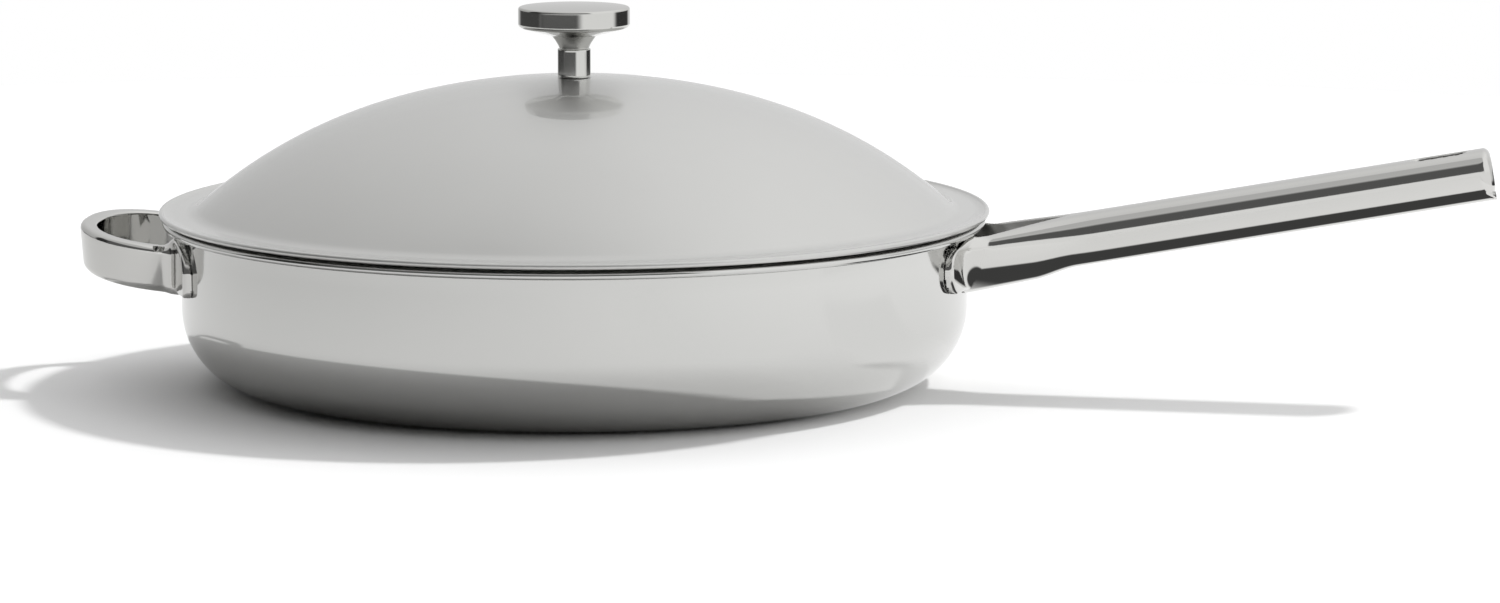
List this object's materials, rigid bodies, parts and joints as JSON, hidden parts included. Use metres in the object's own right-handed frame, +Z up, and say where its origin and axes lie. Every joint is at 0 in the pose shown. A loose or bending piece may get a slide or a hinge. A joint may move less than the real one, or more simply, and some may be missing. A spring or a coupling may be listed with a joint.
{
  "type": "frying pan with lid",
  "caption": "Round steel frying pan with deep walls, a riveted hollow handle with a hanging slot, a loop helper handle, and a domed lift-off lid with a turned knob.",
  "frame": {"origin": "on the pan's axis, on the plane that the base stands on", "axes": "+X along the long handle, away from the pan; +Z up along the pan's axis; +Y completes a right-handed frame"},
  "size_m": [0.5112, 0.2994, 0.1364],
  "materials": {
    "polished_steel": "mirror-polished drawn stainless sheet",
    "cast_steel": "mirror-polished stainless casting",
    "rivet_steel": "satin stainless rivet",
    "lid_steel": "polished pressed stainless sheet",
    "satin_steel": "satin stainless strip",
    "turned_steel": "turned and polished stainless bar",
    "hardware_steel": "bright stainless hardware",
    "silicone": "dark matt silicone"
  },
  "bodies": {
    "pan": {"pan_shell": "polished_steel", "long_handle": "cast_steel", "loop_handle": "cast_steel", "handle_rivet_left": "rivet_steel", "handle_rivet_right": "rivet_steel", "handle_rivet_lower": "rivet_steel", "loop_rivet_left": "rivet_steel", "loop_rivet_right": "rivet_steel"},
    "lid": {"lid_shell": "lid_steel", "lid_locating_ring": "satin_steel", "knob": "turned_steel", "knob_gasket": "silicone", "knob_washer": "hardware_steel", "knob_lock_washer": "hardware_steel", "knob_screw": "hardware_steel"}
  },
  "joints": [
    {"name": "lid_lift", "type": "slide", "parent": "pan", "child": "lid", "axis": [0, 0, 1], "range_m": [0, 0.15]}
  ]
}
